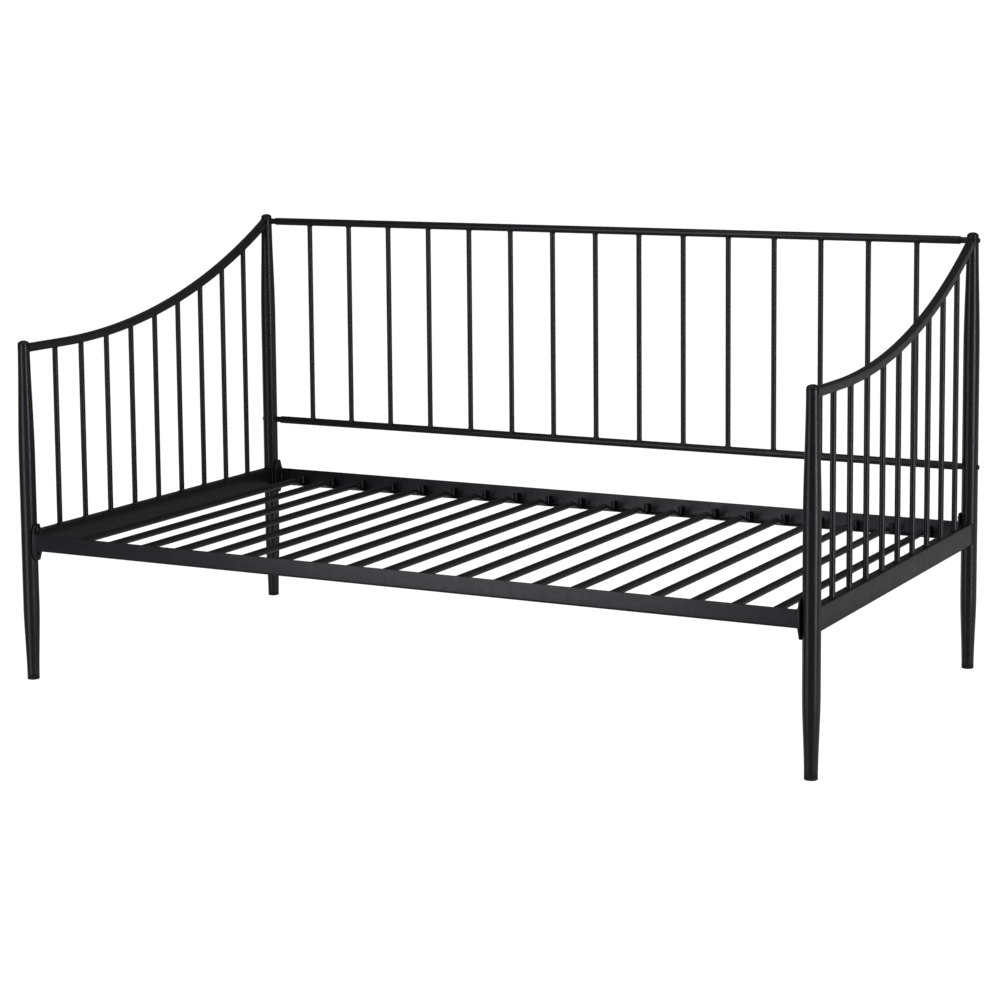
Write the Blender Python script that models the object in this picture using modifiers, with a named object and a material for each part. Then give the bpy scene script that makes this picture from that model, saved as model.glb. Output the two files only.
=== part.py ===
"""Metal daybed frame: spindle back, two swooping arms, tapered posts and a deck of loose slats.

X runs along the bed with the open front at -Y and the back panel at +Y.  Z is up and the
origin is on the floor under the middle of the bed.  Left is -X, right is +X.
"""
import math

import bmesh
import bpy
from mathutils import Matrix, Vector

# Driving dimensions, in metres.
LENGTH = 1.955              # along X, post centre to post centre
DEPTH = 1.040               # along Y, post centre to post centre
FRONT_HEIGHT = 0.804        # floor to the top of a front post's cap
REAR_HEIGHT = 1.038         # floor to the top of a rear post's cap
GAP = 0.0003                # clearance left between neighbouring solids

POST_RADIUS = 0.0190
POST_TOP_RADIUS = 0.0138    # the posts are swaged thinner at both ends
POST_FOOT_RADIUS = 0.0143
TOP_TAPER = 0.280           # height over which the top narrows
FOOT_TAPER = 0.180
CAP_HEIGHT = 0.009
CAP_LIP = 0.0004            # rim of the cap beyond the top of the post
CAP_DOME_SHARE = 0.62       # share of the cap's height that is domed
GLIDE_HEIGHT = 0.006
GLIDE_CHAMFER = 0.0015

ARM_SIZE = 0.019            # square tube of the arm rails
ARM_BELOW_TOP = 0.018       # centre of the arm rail under the top of the front cap
ARM_RADIUS = 1.800          # of the swoop
ARM_BEND_START = -0.370     # Y where the swoop leaves the level stretch
ARM_STATIONS = 26           # straight pieces that the swoop is made of
ARM_EDGE = 0.0022           # rounding of its long edges

END_WIDTH = 0.025           # rectangular tube between the posts of one arm
END_HEIGHT = 0.0515
END_BOTTOM = 0.3005
END_EDGE = 0.0025

SPINDLE_RADIUS = 0.0065
SPINDLE_ROOT = 0.010        # how far a spindle's solid runs down into its rail
SPINDLE_EXCESS = 0.030      # length above the arm that the sloping cut takes off
SPINDLE_CLEARANCE = 0.00045  # between a spindle's end and the rail above it
ARM_SPINDLES = 9
ARM_SPINDLE_PITCH = 0.1009
BACK_SPINDLES = 15
BACK_SPINDLE_PITCH = 0.1202

BACK_RAIL_RADIUS = 0.0095
BACK_TOP_Z = 1.0190
BACK_LOW_Z = 0.4840
BACK_NECK_RADIUS = 0.0075   # swaged ends of the two back rails
BACK_NECK_LENGTH = 0.013
BACK_NECK_EASE = 0.004      # length over which a rail widens from its neck

RAIL_HEIGHT = 0.0400        # angle-section side rails
RAIL_FLANGE = 0.030
RAIL_WALL = 0.0028
RAIL_BOTTOM = 0.3095
RAIL_OUT = 0.0135           # outer face of the web beyond the line of post centres

PLATE_THICKNESS = 0.005     # corner plates between side rail and post
PLATE_WIDTH = 0.034         # beside the rail
PLATE_END_WIDTH = 0.022     # at its upper and lower ends
PLATE_SHOULDER = 0.023      # distance from its middle where it starts to narrow
PLATE_HEIGHT = 0.087
PLATE_CORNER = 0.006
PLATE_BOLT_RISE = 0.031     # bolts above and below the middle of the plate

SLATS = 20
SLAT_PITCH = 0.0923
SLAT_RADIUS = 0.0080
SLAT_RISE = 0.0147          # centre of a slat's tube above the flange that its ends lie on
SLAT_WEB_CLEARANCE = 0.0035
TONGUE_LENGTH = 0.026       # pressed flat end of a slat
TONGUE_WIDTH = 0.021
TONGUE_THICKNESS = 0.0032
TONGUE_BLEND = 0.028        # length over which the tube turns flat and steps down
TONGUE_STEPS = 4
PEG_RADIUS = 0.0055
PEG_HEIGHT = 0.0215
PEG_FROM_WEB = 0.0115       # peg centre to the inner face of the web
HOLE_CLEARANCE = 0.0006

BOLT_RADIUS = 0.0030
BOLT_HEAD_RADIUS = 0.0058
BOLT_HEAD_HEIGHT = 0.0038
BOLT_RIM_SHARE = 0.35       # share of the head's height that is upright at its rim
BOLT_REACH = 0.0200         # how far a shank goes into a post past its surface
BOLT_SHY = 0.002            # by which a shank is shorter than the post it crosses
DRILL_START = 0.004         # how far outside a post a drill starts

POST_SIDES = 20
ROD_SIDES = 12
SMALL_SIDES = 10

ENDS = {"left": -1, "right": 1}
FACES = {"front": -1, "rear": 1}


# ---------------------------------------------------------------- scene and materials

def clear_scene():
    for thing in list(bpy.data.objects):
        bpy.data.objects.remove(thing, do_unlink=True)


def new_collection(name):
    group = bpy.data.collections.new(name)
    bpy.context.scene.collection.children.link(group)
    return group


def new_material(name, colour, roughness, metallic):
    material = bpy.data.materials.new(name)
    material.use_nodes = True
    shader = material.node_tree.nodes["Principled BSDF"]
    shader.inputs["Base Color"].default_value = (*colour, 1.0)
    shader.inputs["Roughness"].default_value = roughness
    shader.inputs["Metallic"].default_value = metallic
    material.diffuse_color = (*colour, 1.0)
    return material


clear_scene()
PARTS = new_collection("metal_daybed_frame")
CUTTERS = new_collection("cutters")
POWDER_COAT = new_material("black_powder_coat", (0.016, 0.016, 0.018), 0.42, 0.0)
BLACK_ZINC = new_material("black_zinc", (0.030, 0.030, 0.033), 0.35, 0.8)
BLACK_NYLON = new_material("black_nylon", (0.012, 0.012, 0.012), 0.60, 0.0)


# ---------------------------------------------------------------- shared builders

def mesh_object(name, bm, material, collection=None):
    """Turn a bmesh into an object and free it."""
    mesh = bpy.data.meshes.new(name)
    bmesh.ops.recalc_face_normals(bm, faces=bm.faces)
    bm.to_mesh(mesh)
    bm.free()
    return finished(name, mesh, material, collection)


def finished(name, mesh, material, collection=None):
    """Link a mesh as a named, smooth-shaded object."""
    thing = bpy.data.objects.new(name, mesh)
    (collection or PARTS).objects.link(thing)
    mesh.materials.clear()
    mesh.materials.append(material)
    mesh.shade_smooth()
    mesh.set_sharp_from_angle(angle=math.radians(35))
    return thing


def add_rod(bm, start, end, radius, sides, phase=0.0):
    """Add a capped straight rod to a bmesh, turned about its own length by a phase."""
    start = Vector(start)
    end = Vector(end)
    along = end - start
    turn = Vector((0, 0, 1)).rotation_difference(along).to_matrix().to_4x4()
    place = Matrix.Translation((start + end) / 2) @ turn @ Matrix.Rotation(phase, 4, "Z")
    bmesh.ops.create_cone(bm, cap_ends=True, segments=sides, radius1=radius, radius2=radius,
                          depth=along.length, matrix=place)


def add_box(bm, low, high):
    """Add a box between two corners to a bmesh."""
    low = Vector(low)
    high = Vector(high)
    place = Matrix.Translation((low + high) / 2) @ Matrix.Diagonal((*(high - low), 1.0))
    bmesh.ops.create_cube(bm, size=1.0, matrix=place)


def cut_across(bm, normal, stations):
    """Cut a bmesh into slices where its position along a normal equals each station."""
    for station in stations:
        geometry = bm.verts[:] + bm.edges[:] + bm.faces[:]
        bmesh.ops.bisect_plane(bm, geom=geometry, dist=1e-6, plane_co=Vector(normal) * station,
                               plane_no=normal)


def turned(name, profile, sides, material, collection=None):
    """Turn (radius, height) points, listed down the outer side, about the local Z axis."""
    mesh = bpy.data.meshes.new(name)
    points = [(radius, 0.0, height) for radius, height in profile]
    edges = [(i, i + 1) for i in range(len(points) - 1)]
    mesh.from_pydata(points, edges, [])
    thing = bpy.data.objects.new(name, mesh)
    (collection or PARTS).objects.link(thing)
    mesh.materials.append(material)
    screw = thing.modifiers.new("turn", "SCREW")
    screw.axis = "Z"
    screw.angle = 2 * math.pi
    screw.steps = sides
    screw.render_steps = sides
    screw.use_merge_vertices = True
    screw.merge_threshold = 0.00005
    screw.use_smooth_shade = True
    return thing


def outline_object(name, splines, thickness, material, collection=None):
    """Fill closed outlines in XY, give them a thickness along Z and weld them into a mesh."""
    curve = bpy.data.curves.new(name, "CURVE")
    curve.dimensions = "2D"
    curve.fill_mode = "BOTH"
    curve.extrude = thickness / 2
    for outline in splines:
        spline = curve.splines.new("POLY")
        spline.points.add(len(outline) - 1)
        for point, (x, y) in zip(spline.points, outline):
            point.co = (x, y, 0.0, 1.0)
        spline.use_cyclic_u = True
    guide = bpy.data.objects.new(name, curve)
    CUTTERS.objects.link(guide)
    bpy.context.view_layer.update()
    evaluated = guide.evaluated_get(bpy.context.evaluated_depsgraph_get())
    mesh = bpy.data.meshes.new_from_object(evaluated)
    bpy.data.objects.remove(guide, do_unlink=True)
    mesh.name = name
    bm = bmesh.new()
    bm.from_mesh(mesh)
    bmesh.ops.remove_doubles(bm, verts=bm.verts, dist=0.00002)
    bmesh.ops.recalc_face_normals(bm, faces=bm.faces)
    bm.to_mesh(mesh)
    bm.free()
    return finished(name, mesh, material, collection)


def arc(centre, radius, start, end, steps):
    """Points of an arc, with its angles in degrees."""
    points = []
    for i in range(steps + 1):
        angle = math.radians(start + (end - start) * i / steps)
        points.append((centre[0] + radius * math.cos(angle), centre[1] + radius * math.sin(angle)))
    return points


def combine(target, tool, operation):
    """Cut a tool from a target, or join it on, and hide the tool."""
    change = target.modifiers.new(operation.lower(), "BOOLEAN")
    change.operation = operation
    change.solver = "EXACT"
    change.object = tool
    tool.hide_render = True
    tool.display_type = "WIRE"


def round_edges(thing, width, segments, angle=40):
    """Round an object's sharp edges."""
    bevel = thing.modifiers.new("round", "BEVEL")
    bevel.width = width
    bevel.segments = segments
    bevel.limit_method = "ANGLE"
    bevel.angle_limit = math.radians(angle)


# ---------------------------------------------------------------- posts, caps and glides

def smooth_step(t):
    t = min(max(t, 0.0), 1.0)
    return t * t * (3 - 2 * t)


def post_radius(z, height):
    """Radius of a post: full in the middle, easing down to its swaged ends."""
    top = smooth_step((height - z) / TOP_TAPER)
    foot = smooth_step(z / FOOT_TAPER)
    if z > height / 2:
        return POST_TOP_RADIUS + (POST_RADIUS - POST_TOP_RADIUS) * top
    return POST_FOOT_RADIUS + (POST_RADIUS - POST_FOOT_RADIUS) * foot


def post_profile(height, grow=0.0):
    """Outer side of a post from top to bottom, optionally grown for use as a cutter."""
    top = height - CAP_HEIGHT
    bottom = GLIDE_HEIGHT + GAP
    levels = [top - TOP_TAPER * i / 7 for i in range(8)]
    levels += [bottom + FOOT_TAPER * (1 - i / 5) for i in range(6)]
    side = [(post_radius(z, height) + grow, z) for z in levels]
    return [(0.0, top)] + side + [(0.0, bottom)]


def post_height(face):
    return FRONT_HEIGHT if face == "front" else REAR_HEIGHT


def post_place(face, end):
    return Vector((ENDS[end] * LENGTH / 2, FACES[face] * DEPTH / 2, 0.0))


def make_post(face, end):
    height = post_height(face)
    post = turned(f"post_{face}_{end}", post_profile(height), POST_SIDES, POWDER_COAT)
    post.location = post_place(face, end)
    return post


def cap_profile(height, grow=0.0):
    """A low dome that plugs the top of a post."""
    rim = POST_TOP_RADIUS + CAP_LIP
    bottom = height - CAP_HEIGHT + GAP
    dome = [(rim * math.sin(a), height - CAP_HEIGHT * CAP_DOME_SHARE * (1 - math.cos(a)))
            for a in (math.radians(d) for d in (0, 22, 45, 68, 90))]
    dome = [(radius + (grow if radius > 0 else 0.0), z + grow) for radius, z in dome]
    return dome + [(rim + grow, bottom), (0.0, bottom)]


def make_cap(face, end):
    cap = turned(f"cap_{face}_{end}", cap_profile(post_height(face)), POST_SIDES, BLACK_NYLON)
    cap.location = post_place(face, end)


def make_glide(face, end):
    radius = POST_FOOT_RADIUS
    profile = [(0.0, GLIDE_HEIGHT), (radius, GLIDE_HEIGHT), (radius, GLIDE_CHAMFER),
               (radius - GLIDE_CHAMFER, 0.0), (0.0, 0.0)]
    glide = turned(f"glide_{face}_{end}", profile, POST_SIDES, BLACK_NYLON)
    glide.location = post_place(face, end)


def post_cutter(face, end):
    """A post and its cap, grown by the gap, for coping the rails that meet it."""
    height = post_height(face)
    profile = cap_profile(height, GAP)[:-1] + post_profile(height, GAP)[1:]
    cutter = turned(f"cope_{face}_{end}", profile, POST_SIDES, POWDER_COAT, CUTTERS)
    cutter.location = post_place(face, end)
    cutter.hide_render = True
    cutter.display_type = "WIRE"
    return cutter


# ---------------------------------------------------------------- arms

def arm_line(s):
    """Point on the centre of the arm rail and its slope angle, s metres behind the front post."""
    y = -DEPTH / 2 + s
    z = FRONT_HEIGHT - ARM_BELOW_TOP
    past = max(s - (ARM_BEND_START + DEPTH / 2), 0.0)
    turn = past / ARM_RADIUS
    y += ARM_RADIUS * math.sin(turn) - past
    z += ARM_RADIUS * (1 - math.cos(turn))
    return y, z, turn


def arm_length():
    """Length of rail that reaches the centre of the rear post."""
    run = DEPTH / 2 - ARM_BEND_START
    return (ARM_BEND_START + DEPTH / 2) + ARM_RADIUS * math.asin(run / ARM_RADIUS)


def arm_under(y):
    """Height and slope angle of the underside of the arm rail above a place along the bed."""
    past = max(y - ARM_BEND_START, 0.0)
    turn = math.asin(past / ARM_RADIUS)
    z = FRONT_HEIGHT - ARM_BELOW_TOP + ARM_RADIUS * (1 - math.cos(turn))
    return z - ARM_SIZE / 2 / math.cos(turn), turn


def make_arm_rail(end):
    """Square tube bent from the top of the front post up to the top of the rear post."""
    length = arm_length()
    half = ARM_SIZE / 2
    bm = bmesh.new()
    add_box(bm, (-half, 0.0, -half), (half, length, half))
    bend = ARM_BEND_START + DEPTH / 2
    stations = [bend + (length - bend) * i / ARM_STATIONS for i in range(ARM_STATIONS)]
    cut_across(bm, (0, 1, 0), stations)
    for vert in bm.verts:
        y, z, turn = arm_line(vert.co.y)
        lift = vert.co.z
        vert.co.y = y - lift * math.sin(turn)
        vert.co.z = z + lift * math.cos(turn)
    rail = mesh_object(f"arm_rail_{end}", bm, POWDER_COAT)
    rail.location.x = ENDS[end] * LENGTH / 2
    round_edges(rail, ARM_EDGE, 2)
    for face in FACES:
        combine(rail, COPES[face, end], "DIFFERENCE")


def arm_spindle_places():
    middle = (ARM_SPINDLES - 1) / 2
    return [ARM_SPINDLE_PITCH * (i - middle) for i in range(ARM_SPINDLES)]


def make_end_frame(end):
    """Rectangular tube between two posts, with the arm's spindles welded on its top."""
    name = f"end_frame_{end}"
    bm = bmesh.new()
    half = END_WIDTH / 2
    top = END_BOTTOM + END_HEIGHT
    add_box(bm, (-half, -DEPTH / 2, END_BOTTOM), (half, DEPTH / 2, top))
    frame = mesh_object(name, bm, POWDER_COAT)
    frame.location.x = ENDS[end] * LENGTH / 2
    round_edges(frame, END_EDGE, 2)
    for face in FACES:
        combine(frame, COPES[face, end], "DIFFERENCE")

    rods = bmesh.new()
    for y in arm_spindle_places():
        z, turn = arm_under(y)
        rod = bmesh.new()
        add_rod(rod, (0, y, top - SPINDLE_ROOT), (0, y, z + SPINDLE_EXCESS), SPINDLE_RADIUS,
                SMALL_SIDES)
        slope = Vector((0.0, -math.sin(turn), math.cos(turn)))
        cut = bmesh.ops.bisect_plane(rod, geom=rod.verts[:] + rod.edges[:] + rod.faces[:],
                                     plane_co=Vector((0, y, z)) - slope * SPINDLE_CLEARANCE,
                                     plane_no=slope, clear_outer=True)
        rim = [item for item in cut["geom_cut"] if isinstance(item, bmesh.types.BMEdge)]
        bmesh.ops.contextual_create(rod, geom=rim)
        piece = bpy.data.meshes.new("rod")
        rod.to_mesh(piece)
        rod.free()
        rods.from_mesh(piece)
        bpy.data.meshes.remove(piece)
    spindles = mesh_object(f"{name}_spindles", rods, POWDER_COAT, CUTTERS)
    spindles.location.x = frame.location.x
    combine(frame, spindles, "UNION")


# ---------------------------------------------------------------- back panel

def make_back_rail(name, z, face_radius):
    """Round rail along X with a thinner neck at each end, between posts of the given radius."""
    end = LENGTH / 2 - face_radius - GAP
    shoulder = end - BACK_NECK_LENGTH
    half = [(0.0, end), (BACK_NECK_RADIUS, end), (BACK_NECK_RADIUS, shoulder),
            (BACK_RAIL_RADIUS, shoulder - BACK_NECK_EASE)]
    profile = half + [(radius, -x) for radius, x in reversed(half)]
    rail = turned(name, profile, ROD_SIDES, POWDER_COAT)
    rail.rotation_euler = (0, math.pi / 2, 0)
    rail.location = (0, DEPTH / 2, z)
    return rail


def back_spindle_places():
    middle = (BACK_SPINDLES - 1) / 2
    return [BACK_SPINDLE_PITCH * (i - middle) for i in range(BACK_SPINDLES)]


def make_back_panel():
    """Top rail, and the lower rail with its row of spindles."""
    make_back_rail("back_top_rail", BACK_TOP_Z, post_radius(BACK_TOP_Z, REAR_HEIGHT))
    low = make_back_rail("back_spindle_frame", BACK_LOW_Z, POST_RADIUS)
    bm = bmesh.new()
    for x in back_spindle_places():
        add_rod(bm, (x, 0, BACK_LOW_Z), (x, 0, BACK_TOP_Z), SPINDLE_RADIUS, SMALL_SIDES)
    spindles = mesh_object("back_spindles", bm, POWDER_COAT, CUTTERS)
    spindles.location.y = DEPTH / 2
    combine(low, spindles, "UNION")
    cope = bmesh.new()
    reach = LENGTH / 2 - POST_RADIUS
    add_rod(cope, (-reach, 0, BACK_TOP_Z), (reach, 0, BACK_TOP_Z),
            BACK_RAIL_RADIUS + SPINDLE_CLEARANCE, 2 * ROD_SIDES)
    cutter = mesh_object("back_top_cope", cope, POWDER_COAT, CUTTERS)
    cutter.location.y = DEPTH / 2
    combine(low, cutter, "DIFFERENCE")


# ---------------------------------------------------------------- side rails and slats

def slat_places():
    middle = (SLATS - 1) / 2
    return [SLAT_PITCH * (i - middle) for i in range(SLATS)]


def web_inner(face):
    """Y of the inner face of a side rail's upright web."""
    return FACES[face] * (DEPTH / 2 + RAIL_OUT - RAIL_WALL)


def peg_y(face):
    return web_inner(face) - FACES[face] * PEG_FROM_WEB


def make_side_rail(face):
    """Angle-section rail with a welded peg for each slat."""
    side = FACES[face]
    outer = side * (DEPTH / 2 + RAIL_OUT)
    half_length = LENGTH / 2 - POST_RADIUS - PLATE_THICKNESS - 2 * GAP
    bend = 2 * RAIL_WALL
    outline = arc((RAIL_BOTTOM + bend, bend), bend, 180, 270, 4)
    outline += [(RAIL_BOTTOM + RAIL_HEIGHT, 0.0), (RAIL_BOTTOM + RAIL_HEIGHT, RAIL_WALL)]
    outline += reversed(arc((RAIL_BOTTOM + bend, bend), bend - RAIL_WALL, 180, 270, 3))
    outline += [(RAIL_BOTTOM + RAIL_WALL, RAIL_FLANGE), (RAIL_BOTTOM, RAIL_FLANGE)]
    section = [(z, outer - side * y) for z, y in outline]
    rail = outline_object(f"side_rail_{face}", [section], 2 * half_length, POWDER_COAT)
    # The outline's x is the rail's height and its thickness runs along the bed.
    rail.data.transform(Matrix(((0, 0, 1, 0), (0, 1, 0, 0), (1, 0, 0, 0), (0, 0, 0, 1))))
    rail.data.flip_normals()
    bm = bmesh.new()
    foot = RAIL_BOTTOM + RAIL_WALL / 2
    top = RAIL_BOTTOM + RAIL_WALL + PEG_HEIGHT
    for x in slat_places():
        add_rod(bm, (x, peg_y(face), foot), (x, peg_y(face), top), PEG_RADIUS, SMALL_SIDES)
    pegs = mesh_object(f"pegs_{face}", bm, POWDER_COAT, CUTTERS)
    combine(rail, pegs, "UNION")


def make_slat(number, x):
    """Round tube along Y whose ends are pressed flat, stepped down and dropped over the pegs."""
    half = web_inner("rear") - SLAT_WEB_CLEARANCE
    flange = RAIL_BOTTOM + RAIL_WALL
    tube_centre = flange + SLAT_RISE
    tongue_centre = flange + GAP + TONGUE_THICKNESS / 2
    bm = bmesh.new()
    add_rod(bm, (0, -half, 0), (0, half, 0), SLAT_RADIUS, ROD_SIDES, math.pi / ROD_SIDES)
    flat_from = half - TONGUE_LENGTH
    steps = [flat_from - TONGUE_BLEND * i / TONGUE_STEPS for i in range(TONGUE_STEPS + 1)]
    cut_across(bm, (0, 1, 0), steps + [-step for step in steps])
    for vert in bm.verts:
        flat = smooth_step((abs(vert.co.y) - flat_from + TONGUE_BLEND) / TONGUE_BLEND)
        wide = 1 + flat * (TONGUE_WIDTH / 2 / SLAT_RADIUS - 1)
        tall = max(min(vert.co.z, TONGUE_THICKNESS / 2), -TONGUE_THICKNESS / 2)
        vert.co.z += flat * (tall - vert.co.z)
        vert.co.z += tube_centre + flat * (tongue_centre - tube_centre)
        vert.co.x *= wide
    slat = mesh_object(f"slat_{number:02d}", bm, POWDER_COAT)
    slat.location.x = x
    combine(slat, make_slat_holes(number, x), "DIFFERENCE")


def make_slat_holes(number, x):
    """Cutter for the two peg holes of one slat."""
    bm = bmesh.new()
    radius = PEG_RADIUS + HOLE_CLEARANCE
    top = RAIL_BOTTOM + RAIL_WALL + PEG_HEIGHT
    for face in FACES:
        add_rod(bm, (0, peg_y(face), RAIL_BOTTOM), (0, peg_y(face), top), radius, SMALL_SIDES)
    holes = mesh_object(f"slat_holes_{number:02d}", bm, POWDER_COAT, CUTTERS)
    holes.location.x = x
    return holes


# ---------------------------------------------------------------- plates and bolts

def bolt_levels():
    middle = RAIL_BOTTOM + RAIL_HEIGHT / 2
    return {"upper": middle + PLATE_BOLT_RISE, "lower": middle - PLATE_BOLT_RISE}


def plate_outline():
    """Outline of a corner plate: widest beside the rail, narrower at both rounded ends."""
    end = PLATE_END_WIDTH / 2 - PLATE_CORNER
    quarter = arc((PLATE_HEIGHT / 2 - PLATE_CORNER, end), PLATE_CORNER, 0, 90, 3)
    quarter.append((PLATE_SHOULDER, PLATE_WIDTH / 2))
    upper = quarter + [(-x, y) for x, y in reversed(quarter)]
    return upper + [(x, -y) for x, y in reversed(upper)]


def make_corner_plate(face, end):
    """Plate welded to the end of a side rail and bolted to the inner side of a post."""
    outline = plate_outline()
    middle = RAIL_BOTTOM + RAIL_HEIGHT / 2
    holes = []
    for z in bolt_levels().values():
        ring = arc((z - middle, 0.0), BOLT_RADIUS + HOLE_CLEARANCE, 0, 360, SMALL_SIDES)
        holes.append(ring[:-1])
    plate = outline_object(f"corner_plate_{face}_{end}", [outline] + holes, PLATE_THICKNESS,
                           POWDER_COAT)
    plate.rotation_euler = (0, math.pi / 2, 0)
    side = ENDS[end]
    inward = POST_RADIUS + GAP + PLATE_THICKNESS / 2
    plate.location = post_place(face, end) + Vector((-side * inward, 0, middle))


def bolt_profile(shank):
    """Button-headed bolt standing on its head's underside at the local origin."""
    rim = BOLT_HEAD_HEIGHT * BOLT_RIM_SHARE
    dome = [(BOLT_HEAD_RADIUS * math.sin(a), rim + (BOLT_HEAD_HEIGHT - rim) * math.cos(a))
            for a in (math.radians(d) for d in (0, 30, 60, 90))]
    return dome + [(BOLT_HEAD_RADIUS, 0.0), (BOLT_RADIUS, 0.0), (BOLT_RADIUS, -shank),
                   (0.0, -shank)]


def make_bolt(name, seat, outward, shank):
    """Bolt whose head sits on a seat point and faces outward along X."""
    bolt = turned(name, bolt_profile(shank), SMALL_SIDES, BLACK_ZINC)
    bolt.rotation_euler = (0, outward * math.pi / 2, 0)
    bolt.location = seat


def bolt_hole(seat, outward, depth):
    """Drill body for a bolt's hole in a post, from a seat point inwards."""
    bm = bmesh.new()
    start = Vector(seat) + Vector((outward * DRILL_START, 0, 0))
    end = Vector(seat) - Vector((outward * depth, 0, 0))
    add_rod(bm, start, end, BOLT_RADIUS + GAP, SMALL_SIDES)
    return bm


def join_cutters(name, drills):
    """One cutter object from several separate drill bodies."""
    whole = bmesh.new()
    for drill in drills:
        piece = bpy.data.meshes.new("drill")
        drill.to_mesh(piece)
        drill.free()
        whole.from_mesh(piece)
        bpy.data.meshes.remove(piece)
    return mesh_object(name, whole, POWDER_COAT, CUTTERS)


def fit_bolts(face, end, post):
    """Two side-rail bolts, and on a rear post one for each back rail, with their holes."""
    side = ENDS[end]
    centre = post_place(face, end)
    drills = []
    for level, z in bolt_levels().items():
        offset = POST_RADIUS + 2 * GAP + PLATE_THICKNESS
        seat = centre + Vector((-side * offset, 0, z))
        shank = PLATE_THICKNESS + BOLT_REACH
        make_bolt(f"rail_bolt_{face}_{end}_{level}", seat, -side, shank)
        drills.append(bolt_hole(seat, -side, shank + 2 * GAP))
    if face == "rear":
        for level, z in (("top", BACK_TOP_Z), ("low", BACK_LOW_Z)):
            radius = post_radius(z, REAR_HEIGHT)
            seat = centre + Vector((side * (radius + GAP), 0, z))
            shank = 2 * radius - BOLT_SHY
            make_bolt(f"back_bolt_{end}_{level}", seat, side, shank)
            drills.append(bolt_hole(seat, side, shank + 2 * GAP))
    combine(post, join_cutters(f"drills_{face}_{end}", drills), "DIFFERENCE")


# ---------------------------------------------------------------- assembly

COPES = {(face, end): post_cutter(face, end) for face in FACES for end in ENDS}

for end in ENDS:
    make_arm_rail(end)
    make_end_frame(end)
    for face in FACES:
        corner_post = make_post(face, end)
        make_cap(face, end)
        make_glide(face, end)
        make_corner_plate(face, end)
        fit_bolts(face, end, corner_post)

make_back_panel()

for face in FACES:
    make_side_rail(face)

for number, x in enumerate(slat_places(), start=1):
    make_slat(number, x)
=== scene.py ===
"""Looks of a black metal daybed frame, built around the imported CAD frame.

X runs along the bed, the open front is at -Y, the back panel at +Y, and Z is up.
"""
import math
import random

import bmesh
import bpy
from mathutils import Matrix, Vector


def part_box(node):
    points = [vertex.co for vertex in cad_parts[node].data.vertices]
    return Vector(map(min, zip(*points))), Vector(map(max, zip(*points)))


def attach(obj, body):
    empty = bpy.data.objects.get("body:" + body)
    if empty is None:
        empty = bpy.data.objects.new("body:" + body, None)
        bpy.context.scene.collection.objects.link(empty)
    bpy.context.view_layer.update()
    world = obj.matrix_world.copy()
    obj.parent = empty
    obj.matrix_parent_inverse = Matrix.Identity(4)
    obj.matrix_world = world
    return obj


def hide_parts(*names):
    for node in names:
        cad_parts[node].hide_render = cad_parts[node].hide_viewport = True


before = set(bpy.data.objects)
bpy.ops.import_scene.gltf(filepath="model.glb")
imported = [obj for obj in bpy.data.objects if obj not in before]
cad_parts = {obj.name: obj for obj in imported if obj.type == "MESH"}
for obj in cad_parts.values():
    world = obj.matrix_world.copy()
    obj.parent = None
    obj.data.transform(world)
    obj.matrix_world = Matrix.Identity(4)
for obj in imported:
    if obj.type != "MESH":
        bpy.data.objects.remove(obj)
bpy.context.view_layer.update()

ENDS = {"left": -1, "right": 1}
FACES = {"front": -1, "rear": 1}

# Shape of the parts, in metres.  Places come from the frame's boxes.
TOP_TAPER = 0.280            # height over which a post narrows to its top
FOOT_TAPER = 0.180
POST_EDGE = 0.0010           # rounding of a post's cut ends
EDGE_CUT = 0.3               # share of an edge's size that its middle is cut back by
CAP_LIP = 0.0004             # rim of a cap beyond the post that it plugs
CAP_SKIRT = 0.0008           # straight wall of a cap under its dome
CAP_CHAMFER = (0.0006, 0.0004)
GLIDE_EDGE = 0.0016          # rounding of a glide's lower edge
GLIDE_BREAK = 0.0004         # chamfer of its upper edge
GLIDE_RECESS = 0.0008        # hollow in the middle of its sole
ARM_BEND_START = -0.370      # Y where the arm leaves its level stretch
ARM_RADIUS = 1.800           # of the arm's swoop
ARM_CORNER = 0.0030          # rounding along the arm's square tube
ARM_FRONT_END = 0.006        # the arm's ends stop this far from the posts' axes
ARM_REAR_END = 0.004
ARM_WELD_RADIUS = 0.0013
END_WIDTH = 0.025            # of the rectangular end rails
END_HEIGHT = 0.0515
END_CORNER = 0.0032          # rounding along the end rails
END_WELD_RADIUS = 0.0015
ARM_SPINDLES = 9
ARM_SPINDLE_PITCH = 0.1009
BACK_SPINDLES = 15
BACK_SPINDLE_PITCH = 0.1202
SPINDLE_RADIUS = 0.0065
SPINDLE_SINK = 0.0006        # how far a spindle's ends run into the tubes
BACK_RAIL_RADIUS = 0.0095
BACK_NECK_RADIUS = 0.0075
BACK_NECK_LENGTH = 0.013
BACK_NECK_BLEND = 0.005
BACK_SADDLE = 0.002          # height over a back rail where a weld's curve levels out
BEAD_RADIUS = 0.0014         # of the weld bead round the foot of an arm spindle
BEAD_OUT = 0.6               # share of that radius by which it stands off the spindle
BEAD_UP = 0.3                # and off the end rail
WELD_PITCH = 0.0032          # between the scallops of a bead
WELD_FLARE = 0.0022          # how far a weld spreads round a spindle
WELD_RISE = 0.0030
BACK_FLARE = 0.8             # share of that spread at the back rails
RAIL_HEIGHT = 0.0400         # of the angle-section rails
RAIL_WALL = 0.0028
RAIL_BEND = 0.0056           # their outer bend radius
RAIL_TOE = 0.0010            # rounding of their edges
RAIL_LAP = 0.0002            # how far they run on at each end, to the plates
RAIL_WELD_RADIUS = 0.0022
RAIL_WELD_PITCH = 0.0045
RAIL_WELD_INSET = 0.0006
PEG_RADIUS = 0.0055
PEG_RISE = 0.0215            # top of a peg above the flange
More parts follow.
